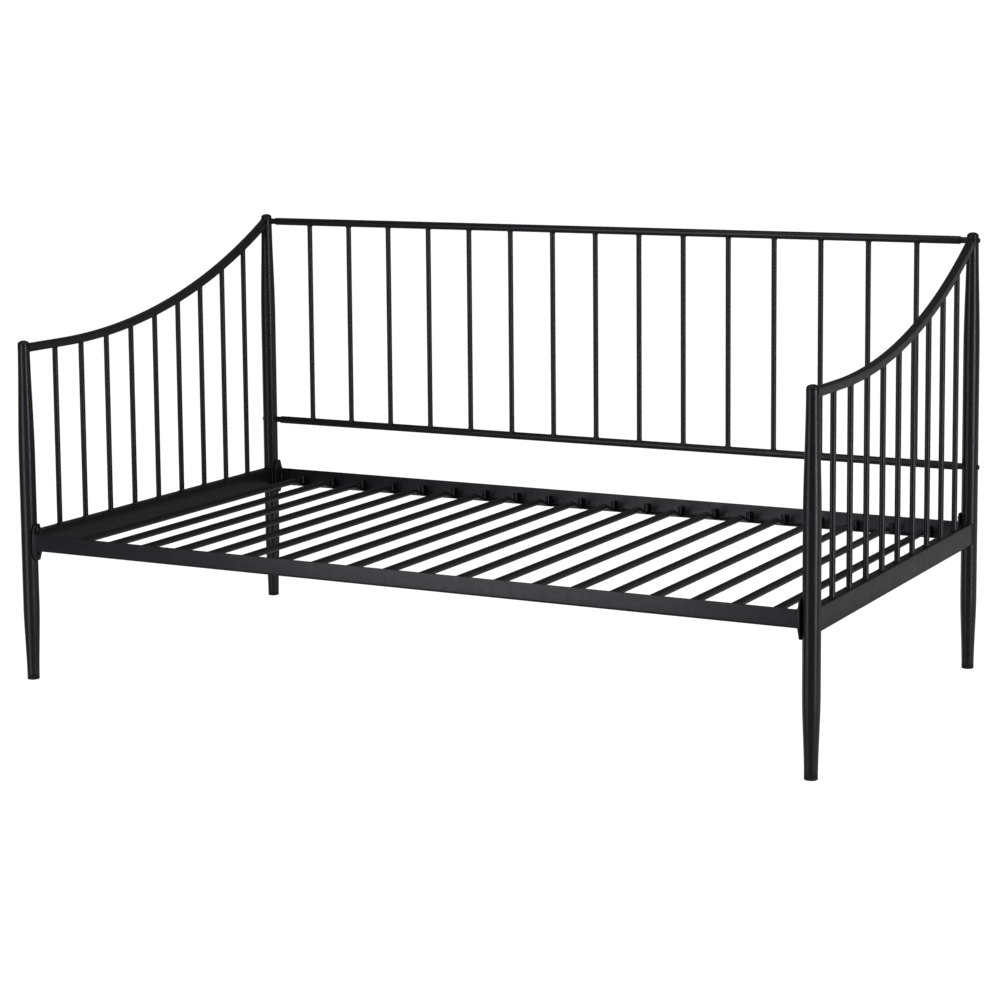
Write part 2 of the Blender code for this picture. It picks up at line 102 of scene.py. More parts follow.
PEG_INSET = 0.0115           # from the web's inner face
PEG_EDGE = 0.0010
PEG_SINK = 0.0006
SLATS = 20
SLAT_RADIUS = 0.0080
SLAT_RISE = 0.0147           # centre of a slat's tube above the flange
TONGUE_LENGTH = 0.026
TONGUE_WIDTH = 0.021
TONGUE_THICKNESS = 0.0032
TONGUE_BLEND = 0.030
TONGUE_CORNER = 0.007
TONGUE_SQUARENESS = 3.5      # added to a round section's power of 2
TONGUE_TIP = 0.92            # share of the corner that the flat tip leaves out
TONGUE_GAP = 0.0003          # between a tongue and the flange
HOLE_PLAY = 0.0006           # between a peg and its hole
DRILL_ABOVE = 0.012          # reach of the drill above and below the flange
DRILL_BELOW = 0.004
PLATE_END_WIDTH = 0.022
PLATE_SHOULDER = 0.023       # distance from a plate's middle where it starts to narrow
PLATE_CORNER = 0.006
PLATE_CHAMFER = 0.0009
BOLT_RADIUS = 0.0030
BOLT_SHANK = 0.010
BOLT_SINK = 0.0004           # how far a head's seat runs into its plate
BOLT_HEAD_RADIUS = 0.0058
BOLT_HEAD_HEIGHT = 0.0038
BOLT_RIM = 0.30              # share of the head's height below its dome
BOLT_SEAT_CHAMFER = (0.0003, 0.0002)
SOCKET_RADIUS = 0.0020       # across the flats, halved
SOCKET_DEPTH = 0.0024
SOCKET_WALL_TOP = 0.0006     # top of the socket's flats below the head's crown
SOCKET_CHAMFER = 0.0002
SINK = 0.0012                # how far a joined end runs into its neighbour

COAT_ROUGHNESS = 0.22        # of the clear layer over the coat and the welds
ZINC_METALLIC = 0.75

# Brightness of the studio's surround, and of what the camera sees behind the bed.
WORLD_BELOW = 0.22
WORLD_LEVEL = 0.055
WORLD_ABOVE = 0.14
FLOOR_GLOW = 0.92
BACKDROP_GLOW = 1.05

random.seed(7)


# ---------------------------------------------------------------- materials

def noise(tree, source, scale, detail, roughness):
    """A noise with so many cells to the metre."""
    node = tree.nodes.new("ShaderNodeTexNoise")
    node.inputs["Scale"].default_value = scale
    node.inputs["Detail"].default_value = detail
    node.inputs["Roughness"].default_value = roughness
    tree.links.new(source, node.inputs["Vector"])
    return node.outputs["Fac"]


def spread(tree, source, low, high, start=0.35, end=0.65):
    """Map the middle of a noise onto a range of values."""
    node = tree.nodes.new("ShaderNodeMapRange")
    node.inputs["From Min"].default_value = start
    node.inputs["From Max"].default_value = end
    node.inputs["To Min"].default_value = low
    node.inputs["To Max"].default_value = high
    tree.links.new(source, node.inputs["Value"])
    return node.outputs["Result"]


def blend_colours(tree, factor, dark, light):
    """Mix two colours by a factor from 0 to 1."""
    node = tree.nodes.new("ShaderNodeMix")
    node.data_type = "RGBA"
    node.inputs["A"].default_value = (*dark, 1)
    node.inputs["B"].default_value = (*light, 1)
    tree.links.new(factor, node.inputs["Factor"])
    return node.outputs["Result"]


def add_bump(tree, height, strength, distance, below=None):
    """Raise a surface by a height, on top of the bump below if there is one."""
    node = tree.nodes.new("ShaderNodeBump")
    node.inputs["Strength"].default_value = strength
    node.inputs["Distance"].default_value = distance
    tree.links.new(height, node.inputs["Height"])
    if below:
        tree.links.new(below, node.inputs["Normal"])
    return node.outputs["Normal"]


def painted(name, dark, light, rough, specular, coat, peel, grain):
    """A coated surface: cloudy colour, uneven gloss, orange peel and a fine grain."""
    material = bpy.data.materials.new(name)
    material.use_nodes = True
    tree = material.node_tree
    shader = tree.nodes["Principled BSDF"]
    place = tree.nodes.new("ShaderNodeTexCoord").outputs["Object"]
    cloud = noise(tree, place, 9.0, 4.0, 0.6)          # patches of 11 cm
    mottle = noise(tree, place, 60.0, 5.0, 0.65)       # of 17 mm
    orange = noise(tree, place, 420.0, 2.0, 0.5)       # of 2.4 mm
    speck = noise(tree, place, 1400.0, 2.0, 0.5)       # of 0.7 mm
    tree.links.new(blend_colours(tree, spread(tree, cloud, 0.0, 1.0), dark, light),
                   shader.inputs["Base Color"])
    tree.links.new(spread(tree, mottle, *rough), shader.inputs["Roughness"])
    bumps = add_bump(tree, orange, 0.55, peel)
    bumps = add_bump(tree, speck, 0.45, grain, bumps)
    tree.links.new(bumps, shader.inputs["Normal"])
    shader.inputs["Specular IOR Level"].default_value = specular
    shader.inputs["Coat Weight"].default_value = coat
    shader.inputs["Coat Roughness"].default_value = COAT_ROUGHNESS
    return material


def zinc_plated():
    """Black zinc plating: a dark metal with mottled gloss."""
    material = painted("black_zinc_plate", (0.030, 0.031, 0.034), (0.060, 0.062, 0.066),
                       (0.24, 0.40), 0.5, 0.0, 0.00002, 0.00001)
    material.node_tree.nodes["Principled BSDF"].inputs["Metallic"].default_value = ZINC_METALLIC
    return material


COAT = painted("satin_black_coat", (0.0070, 0.0070, 0.0080), (0.0100, 0.0100, 0.0115),
               (0.30, 0.40), 0.46, 0.15, 0.00007, 0.00002)
WELD = painted("coated_weld", (0.0070, 0.0070, 0.0080), (0.0110, 0.0110, 0.0125),
               (0.18, 0.30), 0.50, 0.25, 0.00012, 0.00003)
NYLON = painted("moulded_nylon", (0.010, 0.010, 0.010), (0.016, 0.016, 0.016),
                (0.30, 0.42), 0.50, 0.0, 0.00003, 0.00003)
PAD = painted("glide_nylon", (0.012, 0.012, 0.012), (0.020, 0.020, 0.020),
              (0.50, 0.66), 0.40, 0.0, 0.00004, 0.00006)
ZINC = zinc_plated()


# ---------------------------------------------------------------- mesh builders

def smooth_step(t):
    """Ease from 0 to 1."""
    t = min(max(t, 0.0), 1.0)
    return t * t * (3 - 2 * t)


def to_mesh(name, bm):
    """Turn a bmesh into a mesh with its faces outward."""
    bmesh.ops.recalc_face_normals(bm, faces=bm.faces)
    mesh = bpy.data.meshes.new(name)
    bm.to_mesh(mesh)
    bm.free()
    return mesh


def dress_mesh(mesh, material, sharp):
    """Smooth shading, with edges sharper than an angle in degrees kept, and one material."""
    mesh.shade_smooth()
    mesh.set_sharp_from_angle(angle=math.radians(sharp))
    mesh.materials.clear()
    mesh.materials.append(material)


def link_object(name, data):
    """Put a mesh, lamp or camera into the scene as an object."""
    item = bpy.data.objects.new(name, data)
    bpy.context.scene.collection.objects.link(item)
    return item


def finish_mesh(name, bm, material, sharp):
    """Turn a bmesh into a smooth-shaded piece that rides on the frame."""
    bmesh.ops.remove_doubles(bm, verts=bm.verts, dist=0.000004)
    mesh = to_mesh(name, bm)
    dress_mesh(mesh, material, sharp)
    return place_mesh(name, mesh)


def place_mesh(name, mesh, matrix=None):
    """Make a piece of a mesh, riding on the frame."""
    piece = link_object(name, mesh)
    if matrix is not None:
        piece.matrix_world = matrix
    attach(piece, "root")
    return piece


def add_rings(bm, rings, closed_path=False):
    """Skin rings of points of the same count, and close the ends unless the path is closed."""
    loops = [[bm.verts.new(point) for point in ring] for ring in rings]
    count = len(loops[0])
    pairs = list(zip(loops, loops[1:]))
    if closed_path:
        pairs.append((loops[-1], loops[0]))
    for low, high in pairs:
        for i in range(count):
            j = (i + 1) % count
            bm.faces.new((low[i], low[j], high[j], high[i]))
    if not closed_path:
        bm.faces.new(list(reversed(loops[0])))
        bm.faces.new(loops[-1])


def ring_at(radius, z, sides, centre=(0.0, 0.0), ripple=None, shear=(0.0, 0.0)):
    """A level ring of points, which may be uneven and may lean."""
    points = []
    for i in range(sides):
        angle = 2 * math.pi * i / sides
        r = radius * (1 + (ripple(angle) if ripple else 0.0))
        dx = r * math.cos(angle)
        dy = r * math.sin(angle)
        points.append((centre[0] + dx, centre[1] + dy, z + dx * shear[0] + dy * shear[1]))
    return points


def lathe(bm, profile, sides, matrix=None):
    """Turn (radius, height) points about Z.  Ends on the axis are closed to a point."""
    matrix = matrix or Matrix.Identity(4)
    loops = []
    for radius, z in profile:
        if radius == 0:
            loops.append([bm.verts.new(matrix @ Vector((0, 0, z)))])
        else:
            ring = ring_at(radius, z, sides)
            loops.append([bm.verts.new(matrix @ Vector(point)) for point in ring])
    for a, b in zip(loops, loops[1:]):
        for i in range(sides):
            j = (i + 1) % sides
            corners = []
            for loop, k in ((a, i), (a, j), (b, j), (b, i)):
                vert = loop[k] if len(loop) > 1 else loop[0]
                if vert not in corners:
                    corners.append(vert)
            if len(corners) > 2:
                bm.faces.new(corners)


def arc(centre, radius, start, end, steps):
    """Points round an arc between two angles in degrees."""
    points = []
    for i in range(steps + 1):
        angle = math.radians(start + (end - start) * i / steps)
        points.append((centre[0] + radius * math.cos(angle), centre[1] + radius * math.sin(angle)))
    return points


def rounded_outline(width, height, corner):
    """Outline of a rectangle about the origin, with round corners."""
    steps = 5
    x = width / 2 - corner
    y = height / 2 - corner
    outline = []
    for (cx, cy), start in (((x, y), 0), ((-x, y), 90), ((-x, -y), 180), ((x, -y), 270)):
        outline += arc((cx, cy), corner, start, start + 90, steps)
    return outline


def weld_ripple(size, waves):
    """A small unevenness round a weld."""
    turn = random.uniform(0, 2 * math.pi)
    other = random.uniform(0, 2 * math.pi)
    return lambda a: size * (math.sin(waves * a + turn) + 0.6 * math.sin(3 * a + other))


def fillet_steps():
    """Spread, rise and what is left of the curve, from the foot of a weld fillet to its rod."""
    steps = 5
    curve = []
    for i in range(steps + 1):
        angle = math.pi / 2 * i / steps
        curve.append((WELD_FLARE * (1 - math.sin(angle)), WELD_RISE * (1 - math.cos(angle)),
                      1 - i / steps))
    return curve


def add_bead(bm, path, radius, closed, pitch=WELD_PITCH):
    """A weld bead along a path, with the small scallops that a torch leaves."""
    sides = 8
    depth = 0.16
    tip = 0.45
    skew = Vector((0.31, 0.53, 0.79))
    points = [Vector(p) for p in path]
    if closed:
        points.append(points[0])
    fine = []
    travelled = 0.0
    marks = []
    for a, b in zip(points, points[1:]):
        steps = max(1, round((b - a).length / (pitch / 4)))
        for i in range(steps):
            fine.append(a.lerp(b, i / steps))
            marks.append(travelled + (b - a).length * i / steps)
        travelled += (b - a).length
    if not closed:
        fine.append(points[-1])
        marks.append(travelled)
    rings = []
    count = len(fine)
    for i, point in enumerate(fine):
        before = fine[i - 1] if i or closed else fine[i]
        after = fine[(i + 1) % count] if i < count - 1 or closed else fine[i]
        along = (after - before).normalized()
        side = along.cross(skew).normalized()
        up = along.cross(side)
        swell = 1 + depth * (0.5 - abs(((marks[i] / pitch) % 1.0) - 0.5)) * 2
        size = radius * swell
        if not closed and i in (0, count - 1):
            size *= tip
        rings.append([point + (side * math.cos(t) + up * math.sin(t)) * size
                      for t in (2 * math.pi * k / sides for k in range(sides))])
    add_rings(bm, rings, closed)


# ---------------------------------------------------------------- posts, caps and glides

def middle_of(node):
    """Centre of a CAD node's box."""
    low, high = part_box(node)
    return (low + high) / 2


class Post:
    """Where a corner post stands and how thick it is at each height."""

    def __init__(self, face, end):
        low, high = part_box(f"post_{face}_{end}")
        cap_low, cap_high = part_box(f"cap_{face}_{end}")
        glide_low, glide_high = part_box(f"glide_{face}_{end}")
        self.name = f"{face}_{end}"
        self.x = (low.x + high.x) / 2
        self.y = (low.y + high.y) / 2
        self.bottom = low.z
        self.top = high.z
        self.height = cap_high.z
        self.radius = (high.x - low.x) / 2
        self.top_radius = (cap_high.x - cap_low.x) / 2 - CAP_LIP
        self.foot_radius = (glide_high.x - glide_low.x) / 2

    def radius_at(self, z):
        """The post's radius at a height."""
        if z > self.height / 2:
            share = smooth_step((self.height - z) / TOP_TAPER)
            return self.top_radius + (self.radius - self.top_radius) * share
        return self.foot_radius + (self.radius - self.foot_radius) * smooth_step(z / FOOT_TAPER)

    def place(self):
        """The matrix that puts a turned shape on the post's axis."""
        return Matrix.Translation((self.x, self.y, 0))


POSTS = {(face, end): Post(face, end) for face in FACES for end in ENDS}


def make_post(post):
    """A round tube tapered to both ends."""
    top_steps, foot_steps = 22, 16
    levels = [post.top - TOP_TAPER * i / top_steps for i in range(top_steps + 1)]
    levels += [post.bottom + FOOT_TAPER * (1 - i / foot_steps) for i in range(foot_steps + 1)]
    levels[0] -= POST_EDGE
    levels[-1] += POST_EDGE
    head = post.radius_at(post.top)
    foot = post.radius_at(post.bottom)
    cut = POST_EDGE * EDGE_CUT
    profile = [(0.0, post.top), (head - POST_EDGE, post.top), (head - cut, post.top - cut)]
    profile += [(post.radius_at(z), z) for z in levels]
    profile += [(foot - cut, post.bottom + cut), (foot - POST_EDGE, post.bottom),
                (0.0, post.bottom)]
    bm = bmesh.new()
    lathe(bm, profile, 56, post.place())
    piece = finish_mesh(f"post_tube_{post.name}", bm, COAT, 50)
    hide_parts(f"post_{post.name}")


def make_cap(post):
    """A domed plug on the top of a post."""
    low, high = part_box(f"cap_{post.name}")
    rim = post.top_radius
    rise = (high.z - low.z) - CAP_SKIRT
    shoulder = high.z - rise
    profile = [(rim * math.sin(math.radians(a)), shoulder + rise * math.cos(math.radians(a)))
               for a in range(0, 91, 6)]
    inward, upward = CAP_CHAMFER
    profile += [(rim, low.z + upward), (rim - inward, low.z), (0.0, low.z)]
    bm = bmesh.new()
    lathe(bm, profile, 48, post.place())
    piece = finish_mesh(f"post_plug_{post.name}", bm, NYLON, 55)
    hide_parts(f"cap_{post.name}")


def make_glide(post):
    """The pad under a post, with a shallow recess in its sole."""
    low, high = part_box(f"glide_{post.name}")
    rim = (high.x - low.x) / 2
    sole = low.z + GLIDE_RECESS
    profile = [(0.0, high.z), (rim - GLIDE_BREAK, high.z), (rim, high.z - GLIDE_BREAK)]
    profile += arc((rim - GLIDE_EDGE, low.z + GLIDE_EDGE), GLIDE_EDGE, 0, -90, 6)
    profile += [(rim * 0.55, low.z), (rim * 0.50, sole), (0.0, sole)]
    bm = bmesh.new()
    lathe(bm, profile, 48, post.place())
    piece = finish_mesh(f"foot_pad_{post.name}", bm, PAD, 50)
    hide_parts(f"glide_{post.name}")


# ---------------------------------------------------------------- arms

class Arm:
    """The swooping square tube from a front post up to a rear post."""

    def __init__(self, end):
        low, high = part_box(f"arm_rail_{end}")
        self.end = end
        self.x = (low.x + high.x) / 2
        self.size = high.x - low.x
        self.level = low.z + self.size / 2
        self.front = POSTS["front", end]
        self.rear = POSTS["rear", end]

    def frame_at(self, y):
        """Centre height and slope of the arm at a place along it."""
        turn = math.asin(max(y - ARM_BEND_START, 0.0) / ARM_RADIUS)
        return self.level + ARM_RADIUS * (1 - math.cos(turn)), turn

    def point(self, y, across, lift):
        """A point of the tube's section at a place along it."""
        z, turn = self.frame_at(y)
        return Vector((self.x + across, y - lift * math.sin(turn), z + lift * math.cos(turn)))

    def underside(self, y):
        """Height and slope of the tube's lower wall at a place along it."""
        z, turn = self.frame_at(y)
        return z - self.size / 2 / math.cos(turn), turn

    def meets(self, post, across, lift):
        """Where a line along the tube's wall runs into a post."""
        reach, halvings = 0.060, 40
        side = -1 if post is self.front else 1
        far = post.y - side * reach
        near = post.y
        for _ in range(halvings):
            y = (far + near) / 2
            p = self.point(y, across, lift)
            gone_in = math.hypot(p.x - post.x, p.y - post.y) < post.radius_at(p.z)
            near, far = (y, far) if gone_in else (near, y)
        return self.point((near + far) / 2, across, lift)


def make_arm(arm):
    """The arm's tube and the welds where it meets its posts."""
    outline = rounded_outline(arm.size, arm.size, ARM_CORNER)
    start = arm.front.y + ARM_FRONT_END
    stop = arm.rear.y - ARM_REAR_END
    stations = 84
    rings = []
    for i in range(stations + 1):
        y = start + (stop - start) * i / stations
        rings.append([arm.point(y, across, lift) for across, lift in outline])
    bm = bmesh.new()
    add_rings(bm, rings)
    piece = finish_mesh(f"arm_tube_{arm.end}", bm, COAT, 60)
    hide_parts(f"arm_rail_{arm.end}")

    bm = bmesh.new()
    for post in (arm.front, arm.rear):
        path = [arm.meets(post, across, lift) for across, lift in outline]
        path = [p for p in path if p.z < post.top - POST_EDGE / 2]
        add_bead(bm, path, ARM_WELD_RADIUS, False)
    finish_mesh(f"arm_weld_{arm.end}", bm, WELD, 70)


def add_spindle(bm, x, y, bottom, top, slope):
    """An upright rod with an uneven weld fillet at each end; the top meets a sloping wall."""
    sides = 24
    low_ripple = weld_ripple(0.05, 7)
    high_ripple = weld_ripple(0.05, 8)
    lean = (0.0, math.tan(slope))
    rings = []
    for flare, rise, fade in fillet_steps():
        rings.append(ring_at(SPINDLE_RADIUS + flare, bottom - SPINDLE_SINK + rise, sides, (x, y),
                             lambda t: fade * low_ripple(t)))
    for flare, rise, fade in reversed(fillet_steps()):
        rings.append(ring_at(SPINDLE_RADIUS + flare, top + SPINDLE_SINK - rise, sides, (x, y),
                             lambda t: fade * high_ripple(t), lean))
    add_rings(bm, rings)


def spread_places(count, pitch):
    """Evenly spaced places about zero."""
    return [pitch * (i - (count - 1) / 2) for i in range(count)]


def make_end_frame(arm):
    """The rectangular end rail between two posts, the spindles on it and their welds."""
    name = f"end_frame_{arm.end}"
    low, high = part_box(name)
    top = low.z + END_HEIGHT
    middle = low.z + END_HEIGHT / 2
    x = (low.x + high.x) / 2
    outline = rounded_outline(END_WIDTH, END_HEIGHT, END_CORNER)
    rings = []
    stations = 24
    for i in range(stations + 1):
        share = i / stations
        ring = []
        for across, lift in outline:
            front = arm.front.y + math.sqrt((arm.front.radius - SINK) ** 2 - across ** 2)
            rear = arm.rear.y - math.sqrt((arm.rear.radius - SINK) ** 2 - across ** 2)
            ring.append((x + across, front + (rear - front) * share, middle + lift))
        rings.append(ring)
    bm = bmesh.new()
    add_rings(bm, rings)
    piece = finish_mesh(f"end_rail_{arm.end}", bm, COAT, 60)
    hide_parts(name)

    bm = bmesh.new()
    for y in spread_places(ARM_SPINDLES, ARM_SPINDLE_PITCH):
        z, slope = arm.underside(y)
        add_spindle(bm, x, y, top, z, slope)
    finish_mesh(f"arm_spindles_{arm.end}", bm, COAT, 70)

    bm = bmesh.new()
    for y in spread_places(ARM_SPINDLES, ARM_SPINDLE_PITCH):
        ring = ring_at(SPINDLE_RADIUS + BEAD_RADIUS * BEAD_OUT, top + BEAD_RADIUS * BEAD_UP, 40,
                       (x, y))
        add_bead(bm, ring, BEAD_RADIUS, True)
    finish_mesh(f"spindle_weld_{arm.end}", bm, WELD, 70)

    bm = bmesh.new()
    for post, side in ((arm.front, 1), (arm.rear, -1)):
        path = []
        for across, lift in outline:
            reach = math.sqrt(post.radius ** 2 - across ** 2)
            path.append((x + across, post.y + side * reach, middle + lift))
        add_bead(bm, path, END_WELD_RADIUS, True)
    finish_mesh(f"end_weld_{arm.end}", bm, WELD, 70)


# ---------------------------------------------------------------- back panel

def make_back_rail(name, node, z):
    """A round rail along the bed, necked at both ends.  Gives the Y of its axis."""
    low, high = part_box(node)
    half = (high.x - low.x) / 2
    y = (low.y + high.y) / 2
    neck = half - BACK_NECK_LENGTH
    end = [(0.0, half + SINK), (BACK_NECK_RADIUS, half + SINK), (BACK_NECK_RADIUS, neck)]
    blend_steps = 6
    for i in range(1, blend_steps + 1):
        t = i / blend_steps
        radius = BACK_NECK_RADIUS + (BACK_RAIL_RADIUS - BACK_NECK_RADIUS) * smooth_step(t)
        end.append((radius, neck - BACK_NECK_BLEND * t))
    profile = end + [(BACK_RAIL_RADIUS, half * k / 6) for k in range(5, -6, -1)]
    profile += [(radius, -x) for radius, x in reversed(end)]
    bm = bmesh.new()
    lathe(bm, profile, 32, Matrix.Translation((0, y, z)) @ Matrix.Rotation(math.pi / 2, 4, "Y"))
    piece = finish_mesh(name, bm, COAT, 60)
    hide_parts(node)
    return y


def make_back():
    """Both back rails and the spindles between them."""
    top_z = middle_of("back_top_rail").z
    low_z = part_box("back_spindle_frame")[0].z + BACK_RAIL_RADIUS
    y = make_back_rail("back_rail_top", "back_top_rail", top_z)
    make_back_rail("back_rail_low", "back_spindle_frame", low_z)
    bm = bmesh.new()
    for x in spread_places(BACK_SPINDLES, BACK_SPINDLE_PITCH):
        add_back_spindle(bm, x, y, low_z, top_z)
    finish_mesh("back_spindles", bm, COAT, 70)


def add_back_spindle(bm, x, y, low_z, top_z):
    """A rod between two round rails; its fillets hug the rails' curve."""
    sides = 24
    rings = []
    for rail_z, up in ((low_z, 1), (top_z, -1)):
        ripple = weld_ripple(0.04, 7)
        group = []
        for flare, rise, fade in fillet_steps():
            ring = []
            for k in range(sides):
                t = 2 * math.pi * k / sides
                r = (SPINDLE_RADIUS + flare * BACK_FLARE) * (1 + fade * ripple(t))
                dx, dy = r * math.cos(t), r * math.sin(t)
                hug = math.sqrt(max(BACK_RAIL_RADIUS ** 2 - dy ** 2, 0.0)) - SPINDLE_SINK
                seat = hug * fade + (BACK_RAIL_RADIUS + BACK_SADDLE) * (1 - fade)
                ring.append((x + dx, y + dy, rail_z + up * (seat + rise)))
            group.append(ring)
        rings += group if up > 0 else list(reversed(group))
    add_rings(bm, rings)


# ---------------------------------------------------------------- side rails and slats

FLANGE_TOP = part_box("side_rail_front")[0].z + RAIL_WALL


def web_outside(face):
    """Y of the outer face of a side rail."""
    low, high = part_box(f"side_rail_{face}")
    return high.y if face == "rear" else low.y


def peg_line(face):
    """Y of the row of slat pegs on a side rail."""
    return web_outside(face) - FACES[face] * (RAIL_WALL + PEG_INSET)


def rail_section(face):
    """Outline of the angle rail as (y, z): web outside, flange inward at the bottom."""
    low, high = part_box(f"side_rail_{face}")
    depth = high.y - low.y
    toe = RAIL_TOE
    outline = arc((RAIL_BEND, RAIL_BEND), RAIL_BEND, 270, 180, 8)
    outline += arc((toe, RAIL_HEIGHT - toe), toe, 180, 90, 4)
    outline += arc((RAIL_WALL - toe, RAIL_HEIGHT - toe), toe, 90, 0, 4)
    outline += arc((RAIL_BEND, RAIL_BEND), RAIL_BEND - RAIL_WALL, 180, 270, 6)
    outline += arc((depth - toe, RAIL_WALL - toe), toe, 90, 0, 4)
    outline += arc((depth - toe, toe), toe, 0, -90, 4)
    outer = web_outside(face)
    return [(outer - FACES[face] * inward, low.z + lift) for inward, lift in outline]


def make_side_rail(face):
    """An angle rail with its slat pegs, and the welds that join it to its end plates."""
    node = f"side_rail_{face}"
    low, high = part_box(node)
    section = rail_section(face)
    start = low.x - RAIL_LAP
    length = high.x + RAIL_LAP - start
    stations = 40
    rings = []
    for i in range(stations + 1):
        x = start + length * i / stations
        rings.append([(x, y, z) for y, z in section])
    bm = bmesh.new()
    add_rings(bm, rings)
    piece = finish_mesh(f"angle_rail_{face}", bm, COAT, 50)
    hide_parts(node)

    top = FLANGE_TOP + PEG_RISE
    foot = FLANGE_TOP - PEG_SINK
    profile = [(0.0, top)]
    profile += arc((PEG_RADIUS - PEG_EDGE, top - PEG_EDGE), PEG_EDGE, 90, 0, 3)
    profile += [(PEG_RADIUS, foot), (0.0, foot)]
    bm = bmesh.new()
    for number in range(1, SLATS + 1):
        x = middle_of(f"slat_{number:02d}").x
        lathe(bm, profile, 24, Matrix.Translation((x, peg_line(face), 0)))
    finish_mesh(f"slat_pegs_{face}", bm, COAT, 50)

    bm = bmesh.new()
    for end_x, inward in ((low.x, 1), (high.x, -1)):
        path = [(end_x + inward * RAIL_WELD_INSET, y, z) for y, z in section]
        add_bead(bm, path, RAIL_WELD_RADIUS, True, RAIL_WELD_PITCH)
    finish_mesh(f"rail_weld_{face}", bm, WELD, 70)


def slat_ring(y, flat, width_scale):
    """Cross-section of a slat, from round tube at flat = 0 to pressed tongue at flat = 1."""
    sides = 28
    tube = FLANGE_TOP + SLAT_RISE
    tongue = FLANGE_TOP + TONGUE_GAP + TONGUE_THICKNESS / 2
    power = 2 / (2 + TONGUE_SQUARENESS * flat)
    wide = (SLAT_RADIUS + flat * (TONGUE_WIDTH / 2 - SLAT_RADIUS)) * width_scale
    tall = SLAT_RADIUS + flat * (TONGUE_THICKNESS / 2 - SLAT_RADIUS)
    centre = tube + flat * (tongue - tube)
    ring = []
    for k in range(sides):
        t = 2 * math.pi * (k + 0.5) / sides
        c, s = math.cos(t), math.sin(t)
        ring.append((wide * math.copysign(abs(c) ** power, c), y,
                     centre + tall * math.copysign(abs(s) ** power, s)))
    return ring


def slat_stations():
    """(y, flat, width) of a slat's cross-sections, from its front tip to its rear tip."""
    low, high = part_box("slat_01")
    half = (high.y - low.y) / 2
    round_to = half - TONGUE_LENGTH - TONGUE_BLEND
    corner_from = half - TONGUE_CORNER
    tube_steps, blend_steps, corner_steps = 8, 12, 8
    rear = [(round_to * k / tube_steps, 0.0, 1.0) for k in range(tube_steps + 1)]
    for k in range(1, blend_steps + 1):
        t = k / blend_steps
        rear.append((round_to + TONGUE_BLEND * t, smooth_step(t), 1.0))
    rear.append((corner_from, 1.0, 1.0))
    for k in range(1, corner_steps):
        a = math.pi / 2 * k / corner_steps
        inset = TONGUE_CORNER * (1 - math.cos(a))
        rear.append((corner_from + TONGUE_CORNER * math.sin(a), 1.0,
                     1 - inset / (TONGUE_WIDTH / 2)))
    rear.append((half, 1.0, 1 - TONGUE_CORNER * TONGUE_TIP / (TONGUE_WIDTH / 2)))
    return [(-y, flat, width) for y, flat, width in reversed(rear[1:])] + rear


def slat_mesh(peg_y):
    """One slat about X = 0, with its two peg holes."""
    bm = bmesh.new()
    add_rings(bm, [slat_ring(*station) for station in slat_stations()])
    body = link_object("slat_body", to_mesh("slat", bm))

    radius = PEG_RADIUS + HOLE_PLAY
    top, bottom = FLANGE_TOP + DRILL_ABOVE, FLANGE_TOP - DRILL_BELOW
    tools = bmesh.new()
    for y in (-peg_y, peg_y):
        lathe(tools, [(0, top), (radius, top), (radius, bottom), (0, bottom)], 24,
              Matrix.Translation((0, y, 0)))
    drill = link_object("slat_drill", to_mesh("slat_drill", tools))

    cut = body.modifiers.new("holes", "BOOLEAN")
    cut.operation = "DIFFERENCE"
    cut.solver = "EXACT"
    cut.object = drill
    bpy.context.view_layer.update()
    evaluated = body.evaluated_get(bpy.context.evaluated_depsgraph_get())
    mesh = bpy.data.meshes.new_from_object(evaluated)
    bpy.data.objects.remove(body, do_unlink=True)
    bpy.data.objects.remove(drill, do_unlink=True)
    mesh.name = "slat_tube"
    dress_mesh(mesh, COAT, 50)
    return mesh


def make_slats():
    """The slats, all of one mesh."""
    mesh = slat_mesh(peg_line("rear"))
    for number in range(1, SLATS + 1):
        node = f"slat_{number:02d}"
        place = Matrix.Translation((middle_of(node).x, 0, 0))
        piece = place_mesh(f"slat_tube_{number:02d}", mesh, place)
        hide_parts(node)


# ---------------------------------------------------------------- plates and bolts

def plate_outline(width, height, inset):
    """A corner plate's outline: widest beside the rail, narrower at both rounded ends."""
    ends = PLATE_END_WIDTH / 2 - PLATE_CORNER
    quarter = arc((ends, height / 2 - PLATE_CORNER), PLATE_CORNER, 90, 0, 7)
    quarter.append((width / 2, PLATE_SHOULDER))
    right = quarter + [(y, -z) for y, z in reversed(quarter)]
    outline = right + [(-y, z) for y, z in reversed(right)]
    return [(y * (1 - 2 * inset / width), z * (1 - 2 * inset / height)) for y, z in outline]


def make_plate(face, end):
    """A corner plate with chamfered edges."""
    node = f"corner_plate_{face}_{end}"
    low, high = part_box(node)
    centre = (low + high) / 2
    cut = PLATE_CHAMFER * EDGE_CUT
    edge = [(PLATE_CHAMFER, 0.0), (cut, cut), (0.0, PLATE_CHAMFER)]
    far_edge = [(inset, high.x - low.x - x) for inset, x in reversed(edge)]
    rings = []
    for inset, x in edge + far_edge:
        outline = plate_outline(high.y - low.y, high.z - low.z, inset)
        rings.append([(low.x + x, centre.y + y, centre.z + z) for y, z in outline])
    bm = bmesh.new()
    add_rings(bm, rings)
    piece = finish_mesh(f"plate_{face}_{end}", bm, COAT, 40)
    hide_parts(node)


